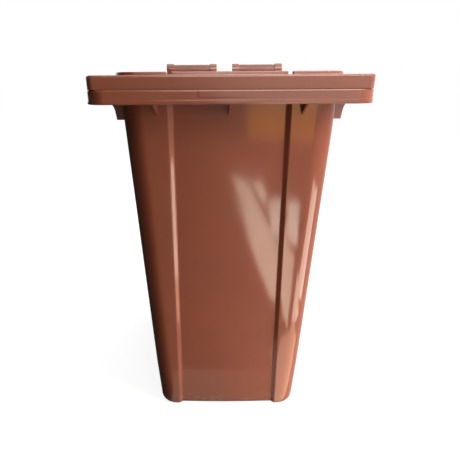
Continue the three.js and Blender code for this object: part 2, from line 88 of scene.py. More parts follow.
UPSTAND_TOP = RIM_TOP + 19
BODY_HALF_BASE = 213.5
BODY_HALF_KINK = 220.4
BODY_HALF_TOP = 237.5
FRONT_BASE = -235
FRONT_KINK = -246.5
FRONT_TOP = -317
KINK_HEIGHT = 159
REAR_BASE, REAR_TOP = 238, 278
BAY_REAR = (128, 168)     # rear of the base under the axle bay: at the foot and at the bay's ceiling
BAY_SLOPE = 13            # height over which the bay's ceiling runs out to the rear wall
BODY_CORNER = 52
BASE_FILLET = 15
FLOOR_TOP = 10.5
RECESS_DEPTH = 5          # recess under the base
RECESS_HALF, RECESS_FRONT, RECESS_REAR, RECESS_CORNER = 180, -196, 95, 20
BAY_CEILING = 150         # the axle runs behind the base, under this height
GUSSET_THICK = 4.6
FRONT_GUSSET_X = (-155, 0, 155)
FRONT_GUSSET_FOOT = 905
SIDE_GUSSET_Y = (-250, -100, 50, 200)
SIDE_GUSSET_FOOT = 890
RIB_X = (60, 208)         # inner faces of the axle ribs
RIB_THICK = 9
RIB_TOP = 230

PANEL_HALF_BASE = 142     # recessed front panel
PANEL_HALF_TOP = 120.5
PANEL_DEPTH = 7
PANEL_STEP = 9.5
PANEL_CROWN = 2.5         # how far the panel bows forward in its middle

AXLE_Y = (AXLE_LOW.y + AXLE_HIGH.y) / 2
AXLE_Z = (AXLE_LOW.z + AXLE_HIGH.z) / 2
AXLE_RADIUS = AXLE_HIGH.z - AXLE_Z
WHEEL_RADIUS = TYRE_HIGH.z - AXLE_Z
TYRE_IN_X = TYRE_LOW.x
TYRE_OUT_X = TYRE_HIGH.x
TYRE_INNER = 80

LID_HALF = LID_HIGH.x
LID_FRONT = LID_LOW.y
LID_REAR = RIM_REAR
LID_TOP = RIM_TOP + 27
LID_BOTTOM = LID_LOW.z
LID_PLATE = 4
LID_CORNER = 16
LID_REAR_CORNER = 12
LID_FILLET = 5
LID_CROWN = 1.8           # how far the plate rises towards its middle
CROWN_CORNER = 60         # plan radius of the plate's crown
SKIRT_CUT_TOP = 965       # along the rear the skirt is cut away below this
ARM_HEEL = 972            # height at which the underside of a hinge arm leaves the lid
RIDGE_TOP = LID_TOP + 6.5
RIDGE_WIDTH = 14
RIDGE_CORNER = 54         # plan radius of the ridge's front corners, over its outer edge
RIDGE_FRONT = -317
RIDGE_REAR = 236
RIDGE_HALF = 244.5
RIDGE_ROUND = 2.2
DRAIN_GAP = (119.5, 129)  # |x| of the drain gaps through the ridge's front run

HINGE_Y = (PIN_LOW.y + PIN_HIGH.y) / 2
HINGE_Z = (PIN_LOW.z + PIN_HIGH.z) / 2
PIN_RADIUS = PIN_HIGH.z - HINGE_Z
KNUCKLE_RADIUS = 11
CENTRE_KNUCKLE_HALF = 26.6
OUTER_KNUCKLE = (208.2, 222)
GRIP_Y = (BAR_LOW.y + BAR_HIGH.y) / 2
GRIP_Z = (BAR_LOW.z + BAR_HIGH.z) / 2
GRIP_RADIUS = BAR_HIGH.z - GRIP_Z
LUG_HEAD = BODY_HIGH.z - GRIP_Z
LUG_REACH = LUG_HEAD - 2  # half length of a lug's head
LUG_INNER = (27.2, 53)
LUG_OUTER = (180, 207.4)
LUG_WEB = 8
LUG_FOOT = 850
SOCKET_DEPTH = 3
CUT_HALF = 230            # half length of the holes that run right across

CHIP_LOW, CHIP_HIGH = box_mm("chip_nest_plug")
CHIP_X = (CHIP_LOW.x + CHIP_HIGH.x) / 2
CHIP_Y = (CHIP_LOW.y + CHIP_HIGH.y) / 2
CHIP_RADIUS = CHIP_HIGH.x - CHIP_X
CHIP_BOSS = (938, 953.5)  # lower and upper end of the boss round the plug
CHIP_HOLE = (930, 950)


# ---------- mesh helpers

def mesh_object(name, vertices, faces):
    """A new object from vertices in millimetres."""
    mesh = bpy.data.meshes.new(name)
    mesh.from_pydata([tuple(c * MM for c in v) for v in vertices], [], faces)
    mesh.validate()
    obj = bpy.data.objects.new(name, mesh)
    bpy.context.scene.collection.objects.link(obj)
    return obj


def skin(name, rows):
    """Closed surface through rows of as many points each, with the two end rows capped."""
    count = len(rows[0])
    vertices = [point for row in rows for point in row]
    faces = []
    for r in range(len(rows) - 1):
        for i in range(count):
            j = (i + 1) % count
            faces.append((r * count + i, r * count + j, (r + 1) * count + j, (r + 1) * count + i))
    last = (len(rows) - 1) * count
    faces.append(tuple(reversed(range(count))))
    faces.append(tuple(range(last, last + count)))
    return outward(mesh_object(name, vertices, faces))


def outward(obj):
    """Turns the faces of a closed mesh outwards."""
    mesh = bmesh.new()
    mesh.from_mesh(obj.data)
    bmesh.ops.recalc_face_normals(mesh, faces=mesh.faces)
    mesh.to_mesh(obj.data)
    mesh.free()
    return obj


def arc(cx, cy, radius, start, end, parts):
    """Points on a circle from one angle to another, in degrees."""
    angles = [math.radians(start + (end - start) * k / parts) for k in range(parts + 1)]
    return [(cx + radius * math.cos(a), cy + radius * math.sin(a)) for a in angles]


def soften(points, radius):
    """Closed outline with each corner rounded by an arc."""
    parts = 3
    out = []
    for i, corner in enumerate(points):
        corner = Vector(corner)
        back = Vector(points[i - 1]) - corner
        ahead = Vector(points[(i + 1) % len(points)]) - corner
        half = back.angle(ahead) / 2
        if half > math.radians(86):  # nearly straight
            out.append(tuple(corner))
            continue
        reach = min(radius / math.tan(half), 0.48 * back.length, 0.48 * ahead.length)
        start = corner + back.normalized() * reach
        end = corner + ahead.normalized() * reach
        pull = math.sin(half)
        for k in range(parts + 1):
            s = k / parts
            w0, w1, w2 = (1 - s) ** 2, 2 * pull * s * (1 - s), s ** 2
            out.append(tuple((w0 * start + w1 * corner + w2 * end) / (w0 + w1 + w2)))
    return out


def bevel_sharp(obj, width):
    """Rounds every edge that turns by more than 40 degrees."""
    if width <= 0:
        return obj
    mesh = bmesh.new()
    mesh.from_mesh(obj.data)
    limit = math.radians(40)
    edges = [e for e in mesh.edges if len(e.link_faces) == 2 and e.calc_face_angle(0) > limit]
    bmesh.ops.bevel(mesh, geom=edges, offset=width * MM, segments=2, profile=0.5,
                    affect="EDGES", clamp_overlap=True)
    mesh.to_mesh(obj.data)
    mesh.free()
    return obj


def prism(outline, place, start, end, rounding):
    """Plate of constant section. place(a, b, c) puts outline point (a, b) at depth c."""
    rows = [[place(a, b, c) for a, b in outline] for c in (start, end)]
    return bevel_sharp(skin("prism", rows), rounding)


def plate_x(outline, x0, x1, rounding):
    return prism(outline, lambda a, b, c: (c, a, b), x0, x1, rounding)


def turned(name, profile, y, z, parts, ripple=None):
    """Closed solid of revolution about the axis along X through (y, z).

    The profile holds (radius, x) points. One that starts and ends on the axis is capped there by one
    point each; any other is a ring. ripple(radius, x, angle) may move the radius of a point.
    """
    solid = profile[0][0] == 0
    inner = profile[1:-1] if solid else profile
    count = len(inner)
    vertices = []
    for k in range(parts):
        angle = 2 * math.pi * k / parts
        for radius, x in inner:
            r = ripple(radius, x, angle) if ripple else radius
            vertices.append((x, y + r * math.sin(angle), z + r * math.cos(angle)))
    faces = []
    for k in range(parts):
        n = (k + 1) % parts
        for i in range(count - 1 if solid else count):
            j = (i + 1) % count
            faces.append((k * count + i, k * count + j, n * count + j, n * count + i))
    if solid:
        for point, i in ((profile[0], 0), (profile[-1], count - 1)):
            vertices.append((point[1], y, z))
            tip = len(vertices) - 1
            faces.extend((k * count + i, ((k + 1) % parts) * count + i, tip) for k in range(parts))
    return outward(mesh_object(name, vertices, faces))


def rod(radius, x0, x1, y, z, parts=64):
    return turned("rod", [(0, x0), (radius, x0), (radius, x1), (0, x1)], y, z, parts)


def rounded_pin(name, outline, rounding, y, z, parts):
    """Solid of revolution whose outline starts and ends on the axis, with its corners rounded."""
    rounded = soften([(r or ON_AXIS, x) for r, x in outline], rounding)
    return turned(name, [outline[0]] + rounded[4:-4] + [outline[-1]], y, z, parts)


def plain_pin(name, radius, start, end, rounding, y, z, parts):
    return rounded_pin(name, [(0, start), (radius, start), (radius, end), (0, end)], rounding, y, z, parts)


def mirrored(obj):
    """Copy of an object on the other side of x = 0."""
    copy = bpy.data.objects.new(obj.name, obj.data.copy())
    bpy.context.scene.collection.objects.link(copy)
    copy.data.transform(Matrix.Scale(-1, 4, (1, 0, 0)))
    return outward(copy)


def both(obj):
    return [obj, mirrored(obj)]


def gather(objects):
    """One object holding the meshes of several, which are removed."""
    first = objects[0]
    mesh = bmesh.new()
    for obj in objects:
        mesh.from_mesh(obj.data)
    mesh.to_mesh(first.data)
    mesh.free()
    for obj in objects[1:]:
        bpy.data.objects.remove(obj)
    return first


def combine(obj, tool, operation):
    """Boolean of two closed meshes; the tool is removed."""
    modifier = obj.modifiers.new("combine", "BOOLEAN")
    modifier.operation = operation
    modifier.solver = "MANIFOLD"
    modifier.object = tool
    bpy.context.view_layer.update()
    graph = bpy.context.evaluated_depsgraph_get()
    mesh = bpy.data.meshes.new_from_object(obj.evaluated_get(graph), depsgraph=graph)
    obj.modifiers.clear()
    obj.data = mesh
    bpy.data.objects.remove(tool)
    return obj


def shade(obj, angle):
    """Smooth shading that keeps flat faces flat."""
    obj.data.shade_smooth()
    obj.data.set_sharp_from_angle(angle=math.radians(angle))
    modifier = obj.modifiers.new("normals", "WEIGHTED_NORMAL")
    modifier.keep_sharp = True
    modifier.weight = 80


def dress(obj, name, body, nodes, material, angle=48):
    """Names a finished piece, gives it its material and puts it on its CAD body.

    Edges that turn by more than the angle, in degrees, stay sharp.
    """
    obj.name = name
    obj.data.name = name
    obj.data.materials.clear()
    obj.data.materials.append(material)
    shade(obj, angle)
    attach(obj, body)
    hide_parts(*nodes)


# ---------- plans and heights

def mix(a, b, t):
    return a + (b - a) * t


def through(points, value):
    """Value of the broken line through (key, result) points, carried on past its ends."""
    for (k0, r0), (k1, r1) in zip(points, points[1:]):
        if value <= k1:
            break
    return mix(r0, r1, (value - k0) / (k1 - k0))


def ramp(u, blend):
    """0 before 0 and 1 after 1, with a straight slope between and rounded ends."""
    if u <= -blend:
        return 0
    if u < blend:
        return (u + blend) ** 2 / (4 * blend)
    if u <= 1 - blend:
        return u
    if u < 1 + blend:
        return 1 - (1 + blend - u) ** 2 / (4 * blend)
    return 1


STEP_BLEND = 0.2
STEP_MARKS = [mark + STEP_BLEND * k / 3 for mark in (0, 1) for k in (-3, -1, 1, 3)]


def plan(half, front, rear, front_radius, rear_radius, step, crown=0.0):
    """Closed loop of points round a rounded rectangle, symmetric about x = 0.

    step is (half width, width, depth): between those half widths the front edge lies deeper by depth,
    and its middle stands forward again by crown.
    """
    step_half, step_width, step_depth = step
    inner = step_half - STEP_BLEND * step_width
    right = [(inner * k / 8, front + step_depth - crown * (1 - (k / 8) ** 2)) for k in range(8)]
    right += [(step_half + step_width * u, front + step_depth * (1 - ramp(u, STEP_BLEND)))
              for u in STEP_MARKS]
    last = right[-1][0]
    corner = half - front_radius
    right += [(mix(last, corner, k / 4), front) for k in range(1, 4)]
    right += arc(corner, front + front_radius, front_radius, -90, 0, 14)
    side_start, side_end = front + front_radius, rear - rear_radius
    right += [(half, mix(side_start, side_end, k / 12)) for k in range(1, 12)]
    right += arc(half - rear_radius, side_end, rear_radius, 0, 90, 10)
    right += [(mix(half - rear_radius, 0, k / 6), rear) for k in range(1, 7)]
    return right + [(-x, y) for x, y in reversed(right[1:-1])]


def at_height(loop, z):
    return [(x, y, z) for x, y in loop]


def body_half(z):
    return through([(0, BODY_HALF_BASE), (KINK_HEIGHT, BODY_HALF_KINK), (RIM_TOP, BODY_HALF_TOP)], z)


def body_front(z):
    return through([(0, FRONT_BASE), (KINK_HEIGHT, FRONT_KINK), (RIM_TOP, FRONT_TOP)], z)


def body_rear(z):
    return mix(REAR_BASE, REAR_TOP, z / RIM_TOP)


def body_loop(z, inset=0.0, fillet=0.0):
    """Outline of the body at a height, drawn in by the wall (inset) and by a fillet."""
    ceiling = BAY_CEILING + inset
    base_rear = through([(0, BAY_REAR[0] - inset), (ceiling, BAY_REAR[1] - inset),
                         (ceiling + BAY_SLOPE, body_rear(BAY_CEILING + BAY_SLOPE) - inset),
                         (RIM_TOP, REAR_TOP - inset)], z)
    open_up = min(max((base_rear - 176) / 60, 0), 1)
    rear_radius = mix(10, BODY_CORNER, open_up) - inset
    panel = mix(PANEL_HALF_BASE, PANEL_HALF_TOP, z / RIM_TOP) - inset / 2
    draw = inset + fillet
    return at_height(plan(body_half(z) - draw, body_front(z) + draw, base_rear - fillet,
                          BODY_CORNER - inset - fillet * 0.5, max(rear_radius - fillet * 0.5, 3),
                          (panel, PANEL_STEP + inset, PANEL_DEPTH), PANEL_CROWN), z)


def rim_loop(z, inset, pad=0.0):
    """Outline of the comb rim; pad is how far its middle stands proud in front."""
    return at_height(plan(RIM_HALF - inset, RIM_FRONT + inset, RIM_REAR - inset, RIM_CORNER - inset,
                          RIM_REAR_CORNER - inset, (PAD_HALF - 1.5, 1.5, -pad)), z)


def quarter(radius, parts):
    """(away, along) pairs of a quarter round, from (radius, 0) to (0, radius)."""
    return [(radius * (1 - math.sin(a)), radius * (1 - math.cos(a)))
            for a in (math.pi / 2 * k / parts for k in range(parts + 1))]


# ---------- body

def recess_loop(grow, z):
    """Edge of the recess under the base."""
    corner = RECESS_CORNER + grow
    return at_height(plan(RECESS_HALF + grow, RECESS_FRONT - grow, RECESS_REAR + grow, corner, corner,
                          NO_STEP), z)


def body_shell():
    """Body and comb rim as one skin: from the recess under the base, up the outside, down the inside."""
    bay = BAY_CEILING
    rows = [recess_loop(-4, RECESS_DEPTH), recess_loop(-1.2, RECESS_DEPTH - 1), recess_loop(0, 1.2),
            recess_loop(1.2, 0)]
    rows += [body_loop(rise, fillet=away) for away, rise in quarter(BASE_FILLET, 7)]
    outer_heights = [BASE_FILLET + 2, 40, 75, 110, 135, 146]
    outer_heights += [bay + rise for rise in (0, 3, 6.5, 10, 13, 17)] + [185]
    outer_heights += [230 + 60 * k for k in range(12)] + [925, 948]
    rows += [body_loop(z) for z in outer_heights]
    under = RIM_TOP - WALL
    inner_face = BEAD_PROUD + WALL
    rows += [body_loop(under - 2.4, -0.6), body_loop(under - 0.6, -2.4), body_loop(under, -5)]
    rows += [rim_loop(under, inner_face + 3), rim_loop(under - 0.6, inner_face + 0.6),
             rim_loop(under - 3, inner_face)]
    skirt = ((1.2, inner_face), (0.3, inner_face - 0.4), (0, inner_face - 1.4), (0, 2), (0.6, 0.6), (2, 0))
    rows += [rim_loop(RIM_BOTTOM + rise, inset) for rise, inset in skirt]
    bead_top = RIM_BOTTOM + BEAD_HEIGHT
    rows += [rim_loop(bead_top - 1.3, 0), rim_loop(bead_top - 0.4, 0.3), rim_loop(bead_top, BEAD_PROUD)]
    pad_bottom = RIM_TOP - PAD_HEIGHT
    rows += [rim_loop(pad_bottom - 0.6, BEAD_PROUD), rim_loop(pad_bottom, BEAD_PROUD, BEAD_PROUD * 0.8),
             rim_loop(pad_bottom + 0.6, BEAD_PROUD, BEAD_PROUD)]
    rows += [rim_loop(RIM_TOP - away, BEAD_PROUD + along, BEAD_PROUD)
             for away, along in quarter(RIM_ROUND, 4)]
    rows += [body_loop(RIM_TOP, -4), body_loop(RIM_TOP + 0.8, -1), body_loop(RIM_TOP + 3, 0)]
    lip = ((2, 0), (0.6, 0.6), (0, WALL / 2), (0.6, WALL - 0.6), (2, WALL))
    rows += [body_loop(UPSTAND_TOP - drop, inset) for drop, inset in lip]
    inner_heights = [940, 860, 740, 620, 500, 380, 260]
    inner_heights += [bay + rise for rise in (24, 19, 17.5, 14, 10, 6, WALL)] + [130, 90, 50]
    rows += [body_loop(z, WALL) for z in inner_heights]
    rows += [body_loop(FLOOR_TOP + rise, WALL, fillet=away) for away, rise in reversed(quarter(9, 4))]
    return skin("bin_body", rows)


def front_gusset(x):
    """Triangular plate from the rim's front down to the wall."""
    foot = FRONT_GUSSET_FOOT
    wall = body_front(foot)
    flange = RIM_TOP - WALL / 2
    deep = PANEL_DEPTH + 3
    return plate_x([(RIM_FRONT + 3, flange), (RIM_FRONT + 3, RIM_BOTTOM + 1), (wall + 0.5, foot),
                    (wall + deep, foot), (wall + deep, flange)],
                   x - GUSSET_THICK / 2, x + GUSSET_THICK / 2, 0.7)


def side_gusset(y):
    """Plate under the rim's side, with a hollow curve from the skirt down to a small foot on the wall."""
    foot = SIDE_GUSSET_FOOT
    wall = body_half(foot)
    flange = RIM_TOP - WALL / 2
    curve = [(wall + mix(22, 35, t) - 3.2 * math.sin(math.pi * t), mix(904, 932, t))
             for t in (k / 6 for k in range(7))]
    outline = [(wall - 2, foot - 1), (wall + 1, foot - 1), (wall + 4, foot), (wall + 20, foot)] + curve
    outline += [(wall + 35, flange), (wall - 2, flange)]
    return prism(outline, lambda a, b, c: (a, c, b), y - GUSSET_THICK / 2, y + GUSSET_THICK / 2, 0.7)


def lug_web(x0, x1):
    """Plate that carries a handle lug, from the rear wall up round the end of the handle bar."""
    wall = body_rear(LUG_FOOT) - 2
    outline = [(wall, LUG_FOOT), (300, 880), (HINGE_Y + 8, HINGE_Z - 26), (GRIP_Y + LUG_REACH, GRIP_Z - 6)]
    outline += arc(GRIP_Y, GRIP_Z, LUG_REACH, 0, 180, 24)
    outline += [(GRIP_Y - LUG_REACH, GRIP_Z - 8), (294, 968), (290, RIM_TOP - 2), (wall, RIM_TOP - 2)]
    return plate_x(outline, x0, x1, 1.2)


def lug_head(x0, x1):
    """Thick head of a lug, from the handle bar down to the hinge boss."""
    head = [(GRIP_Y + LUG_REACH * math.cos(a), GRIP_Z + LUG_HEAD * math.sin(a))
            for a in (math.pi * k / 28 for k in range(29))]
    head += [(GRIP_Y - LUG_REACH, HINGE_Z), (HINGE_Y - KNUCKLE_RADIUS + 1, HINGE_Z - 6),
             (HINGE_Y + KNUCKLE_RADIUS - 1, HINGE_Z - 2)]
    return plate_x(head, x0, x1, 1.2)


def hinge_boss(x0, x1):
    return bevel_sharp(rod(KNUCKLE_RADIUS, x0, x1, HINGE_Y, HINGE_Z, 48), 0.7)


def axle_rib(x):
    """Plate behind the base that the axle runs through."""
    nose = arc(AXLE_Y, AXLE_Z, 24, -135, 0, 14)
    outline = [(132, 30), (AXLE_Y - 30, AXLE_Z - 23)] + nose
    outline += [(body_rear(RIB_TOP) + 1, RIB_TOP), (body_rear(RIB_TOP) - 3, RIB_TOP),
                (body_rear(180) - 3, 166), (166, 153)]
    return plate_x(outline, x, x + RIB_THICK, 1.2)


def chip_disc(name, profile):
    """Solid of revolution about the plug's upright axis; the profile holds (radius, z) points."""
    obj = turned(name, profile, 0, 0, 64)
    obj.data.transform(Matrix.Rotation(math.radians(-90), 4, "Y"))
    obj.data.transform(Matrix.Translation((CHIP_X * MM, CHIP_Y * MM, 0)))
    return outward(obj)


def chip_cylinder(name, radius, ends):
    low, high = ends
    return chip_disc(name, [(0, low), (radius, low), (radius, high), (0, high)])


def build_body():
    """The body moulding: shell, gussets, lugs, ribs and bosses, with its holes cut last."""
    body = body_shell()
    inner, outer = LUG_INNER, LUG_OUTER
    chip_boss = chip_cylinder("boss", CHIP_RADIUS + 3, CHIP_BOSS)
    plates = [front_gusset(x) for x in FRONT_GUSSET_X]
    plates += [piece for y in SIDE_GUSSET_Y for piece in both(side_gusset(y))]
    plates += both(lug_web(inner[1] - LUG_WEB, inner[1])) + both(lug_web(outer[0], outer[0] + LUG_WEB))
    plates += [piece for x in RIB_X for piece in both(axle_rib(x))]
    combine(body, gather(plates + [bevel_sharp(chip_boss, 0.8)]), "UNION")
    heads = both(lug_head(*inner)) + both(lug_head(*outer))
    combine(body, gather(heads), "UNION")
    bosses = both(hinge_boss(inner[0], inner[1] - LUG_WEB / 2))
    bosses += both(hinge_boss(outer[0] + LUG_WEB / 2, outer[1]))
    combine(body, gather(bosses), "UNION")
    cuts = both(rod(GRIP_RADIUS + GAP, inner[1] - SOCKET_DEPTH, outer[0] + SOCKET_DEPTH, GRIP_Y, GRIP_Z))
    cuts += both(rod(PIN_RADIUS + PIN_RUN, outer[0] - 1, outer[1] + 1, HINGE_Y, HINGE_Z, 40))
    cuts += [rod(AXLE_RADIUS + RUN, -CUT_HALF, CUT_HALF, AXLE_Y, AXLE_Z)]
    cuts += [chip_cylinder("hole", CHIP_RADIUS + RUN, CHIP_HOLE)]
    combine(body, gather(cuts), "DIFFERENCE")
    pin_hole = rod(PIN_RADIUS + PIN_RUN, -inner[1] - 1, inner[1] + 1, HINGE_Y, HINGE_Z, 40)
    return combine(body, pin_hole, "DIFFERENCE")


# ---------- lid

def lid_loop(z, inset):
    """Outline of the lid at a height; far in from the edge its corners are broader."""
    front_radius, rear_radius = CROWN_CORNER, CROWN_CORNER
    if inset <= CROWN_CORNER / 2:
        front_radius, rear_radius = max(LID_CORNER - inset, 5), max(LID_REAR_CORNER - inset, 3)
    return at_height(plan(LID_HALF - inset, LID_FRONT + inset, LID_REAR - inset, front_radius,
                          rear_radius, NO_STEP), z)


def lid_crown(z, insets):
    """Loops over the lid's plate, rising towards its middle."""
    return [lid_loop(z + LID_CROWN * rise, inset) for rise, inset in zip((0.4, 0.8, 1), insets)]


def lid_shell():
    """Plate and skirt as one skin, from the middle of the underside to the middle of the top."""
    under = LID_TOP - LID_PLATE
    rows = lid_crown(under, (50, 120, 200))[::-1]
    rows += [lid_loop(under, WALL + 4), lid_loop(under - 0.8, WALL + 1.2), lid_loop(under - 4, WALL)]
    skirt = ((1, WALL), (0, WALL - 1), (0, 0.3), (0.05, 0.05), (0.2, 0), (10, 0))
    rows += [lid_loop(LID_BOTTOM + rise, inset) for rise, inset in skirt]
    rows += [lid_loop(LID_TOP - away, along) for away, along in quarter(LID_FILLET, 6)]
    rows += [lid_loop(LID_TOP, 20)] + lid_crown(LID_TOP, (54, 124, 204))
    return skin("lid", rows)


def sweep(name, path, section):
    """Solid of a section carried along a path in plan; the section holds (sideways, z) points."""
    rows = []
    count = len(path)
    for i, point in enumerate(path):
        before = Vector(path[max(i - 1, 0)])
        after = Vector(path[min(i + 1, count - 1)])
        along = (after - before).normalized()
        side = Vector((along.y, -along.x))
        rows.append([(point[0] + side.x * s, point[1] + side.y * s, z) for s, z in section])
    return skin(name, rows)


def ridge_section():
    half, top, turn = RIDGE_WIDTH / 2, RIDGE_TOP, RIDGE_ROUND
    right = [(half - turn + turn * math.sin(a), top - turn + turn * math.cos(a))
             for a in (math.pi / 2 * k / 4 for k in range(5))]
    left = [(-x, z) for x, z in reversed(right)]
    return [(-half - 1.4, LID_TOP - 1)] + left + right + [(half + 1.4, LID_TOP - 1)]


def lid_ridge():
    """Raised ridge in three pieces: a straight one in front and a hook at each side."""
    gap_start, gap_end = DRAIN_GAP
    mid = RIDGE_WIDTH / 2
    front = RIDGE_FRONT + mid
    side = RIDGE_HALF - mid
    radius = RIDGE_CORNER - mid
    hook = [(gap_end, front), ((gap_end + side - radius) / 2, front)]
    hook += arc(side - radius, front + radius, radius, -90, 0, 16)
    hook += [(side, mix(front + radius, RIDGE_REAR, k / 6)) for k in range(1, 7)]
    middle = [(mix(-gap_start, gap_start, k / 6), front) for k in range(7)]
    right = bevel_sharp(sweep("hook", hook, ridge_section()), 1.6)
    return [bevel_sharp(sweep("middle", middle, ridge_section()), 1.6)] + both(right)


def lid_arm(x0, x1):
    """Hinge knuckle with the arm that joins it to the lid's rear edge."""
    knuckle = arc(HINGE_Y, HINGE_Z, KNUCKLE_RADIUS, -90, 90, 20)
    return plate_x([(LID_REAR - 14, LID_TOP), (LID_REAR - 14, LID_TOP - LID_PLATE), (LID_REAR - 2, ARM_HEEL)]
                   + knuckle + [(LID_REAR + 20, LID_TOP + 2)], x0, x1, 0.9)


def build_lid():
    """The lid moulding: shell, ridge and knuckles; the skirt is cut away along the rear."""
    lid = lid_shell()
    combine(lid, gather(lid_ridge()), "UNION")
    across = 300  # past both sides of the lid
    skirt_cut = plate_x([(LID_REAR - LID_REAR_CORNER, LID_BOTTOM - 2), (LID_REAR + 2, LID_BOTTOM - 2),
                         (LID_REAR + 2, SKIRT_CUT_TOP), (LID_REAR - LID_REAR_CORNER, SKIRT_CUT_TOP)],
                        -across, across, 0)
    combine(lid, skirt_cut, "DIFFERENCE")
    arms = [lid_arm(-CENTRE_KNUCKLE_HALF, CENTRE_KNUCKLE_HALF)] + both(lid_arm(*OUTER_KNUCKLE))
    combine(lid, gather(arms), "UNION")
    pin_hole = rod(PIN_RADIUS + PIN_RUN, -CUT_HALF, CUT_HALF, HINGE_Y, HINGE_Z, 40)
    return combine(lid, pin_hole, "DIFFERENCE")


# ---------- pins and handle bars

def hinge_pin_centre():
    return plain_pin("pin", PIN_RADIUS, PIN_LOW.x, PIN_HIGH.x, 0.8, HINGE_Y, HINGE_Z, 48)


def hinge_pin_outer():
    """Pin with a tapered tip and a low head."""
    low, high = box_mm("hinge_pin_right")
    tip, head = low.x, high.x - 3.5
    return rounded_pin("pin", [(0, tip), (PIN_RADIUS - 1, tip), (PIN_RADIUS, tip + 2), (PIN_RADIUS, head),
                               (PIN_RADIUS + 3.5, head), (PIN_RADIUS + 3.5, head + 2),
                               (PIN_RADIUS + 1.5, head + 3.5), (0, head + 3.5)], 0.8, HINGE_Y, HINGE_Z, 64)


def handle_bar():
    """Hollow bar with a diamond knurl between two plain ends."""
    start, end = BAR_LOW.x, BAR_HIGH.x
    bore = 9
    pitch = 5.2   # of the knurl along the bar
    around = 20   # diamonds round the bar
    deep = 1.0    # depth of the knurl
    plain = 7     # length of each plain end
    along = [start + 0.01, start + 0.8] + [mix(start + 3, end - 3, k / 96) for k in range(97)]
    along += [end - 0.8, end]

    def radius_at(radius, x, angle):
        if radius <= bore:
            return radius
        if x - start < plain or end - x < plain:
            return GRIP_RADIUS - deep * 0.4
        a = math.sin(math.pi * x / pitch + around * angle / 2)
        b = math.sin(math.pi * x / pitch - around * angle / 2)
        groove = min(abs(a), abs(b))
        return GRIP_RADIUS - deep * (1 - min(groove * 1.8, 1))

    outside = [(GRIP_RADIUS - (0.8 if x - start < 0.5 or end - x < 0.5 else 0), x) for x in along]
    profile = [(bore, start)] + outside + [(bore, end)]
    return turned("bar", profile, GRIP_Y, GRIP_Z, 120, radius_at)


# ---------- axle and wheels, right-hand side

def ring(name, outline, rounding, parts=64):
    """Ring round the axle with its corners rounded; the outline holds (radius, x) points."""
    return turned(name, soften(outline, rounding), AXLE_Y, AXLE_Z, parts)


def plain_ring(name, node, rounding):
    """Ring of the CAD node's length and outside radius that fits the axle."""
    low, high = box_mm(node)
    outer, bore = high.z - AXLE_Z, AXLE_RADIUS + RUN
    return ring(name, [(bore, low.x), (outer, low.x), (outer, high.x), (bore, high.x)], rounding)


def spacer_sleeve():
    return plain_ring("sleeve", "spacer_sleeve_right", 0.8)


def tyre():
    """Solid tyre with two grooves round it and notched shoulders."""
    mid = (TYRE_IN_X + TYRE_OUT_X) / 2
    half = (TYRE_OUT_X - TYRE_IN_X) / 2
    top = WHEEL_RADIUS
    outline = [(TYRE_INNER, -half + 4), (TYRE_INNER + 3, -half), (top - 12, -half),
               (top - 11, -half + 1.2), (top - 9, -half + 0.6), (top - 2.5, -half + 5), (top, -half + 11)]
    for groove in (-6, 6):
        outline += [(top, groove - 2), (top - 2.4, groove - 1.2), (top - 2.4, groove + 1.2),
                    (top, groove + 2)]
    outline += [(r, -x) for r, x in reversed(outline[:7])]
    rounded = [(r, mid + x) for r, x in soften(outline, 1.0)]
    notches = 44

    def notch(radius, x, angle):
        side = abs(x - mid)
        if radius < top - 7 or side < half - 12:
            return radius
        wave = math.cos(notches * angle)
        return radius - 1.5 * min(max((wave - 0.55) * 5, 0), 1) * min((side - half + 12) / 5, 1)

    return turned("tyre", rounded, AXLE_Y, AXLE_Z, notches * 8, notch)


BARREL_RADIUS = 23
BARREL_END = 274
BUSH_RADIUS = 15
CAP_RADIUS = 27
CAP_SEAT = 280


def spokes(outline, count, half_thick, rounding):
    """Radial plates round the axle, in one object; the outline holds (radius, x) points."""
    plates = []
    for k in range(count):
        plate = prism(outline, lambda a, b, c: (b, c, a), -half_thick, half_thick, rounding)
        plate.data.transform(Matrix.Rotation(k * 2 * math.pi / count, 4, "X"))
        plate.data.transform(Matrix.Translation((0, AXLE_Y * MM, AXLE_Z * MM)))
        plates.append(outward(plate))
    return gather(plates)


def wheel_hub():
    """Hub and dished disc, with eight spokes in front and sixteen thin ones behind."""
    rim = TYRE_INNER - GAP
    bore, barrel, nest = BUSH_RADIUS + RUN, BARREL_RADIUS, CAP_RADIUS + GAP
    outline = [(bore, TYRE_IN_X), (barrel, TYRE_IN_X), (barrel, 257), (68, 260), (72, TYRE_IN_X + 3),
               (rim, TYRE_IN_X + 3), (rim, TYRE_OUT_X - 3), (73, TYRE_OUT_X - 3), (70, 266),
               (CAP_RADIUS + 5, 264), (CAP_RADIUS + 4, CAP_SEAT), (nest, CAP_SEAT), (nest, 272),
               (barrel, 272), (barrel, BARREL_END), (bore, BARREL_END)]
    hub = ring("hub", outline, 1.0, 128)
    front = spokes([(31, 262), (73, 262), (73, 276), (50, 273.5), (31, 276)], count=8, half_thick=3,
                   rounding=1.0)
    combine(hub, front, "UNION")
    rear = spokes([(22, 247), (71, 251), (71, 259), (22, 259)], count=16, half_thick=1.8, rounding=0.7)
    return combine(hub, rear, "UNION")


def hub_bush():
    """Bush with a collar outside the barrel."""
    bore = AXLE_RADIUS + RUN
    low, high = box_mm("hub_bush_right")
    outer, seat = BUSH_RADIUS, BARREL_END + GAP
    return ring("bush", [(bore, low.x), (outer, low.x), (outer, seat), (outer + 4, seat),
                         (outer + 4, high.x), (bore, high.x)], 0.5)


def axle_washer():
    return plain_ring("washer", "axle_washer_right", 0.35)


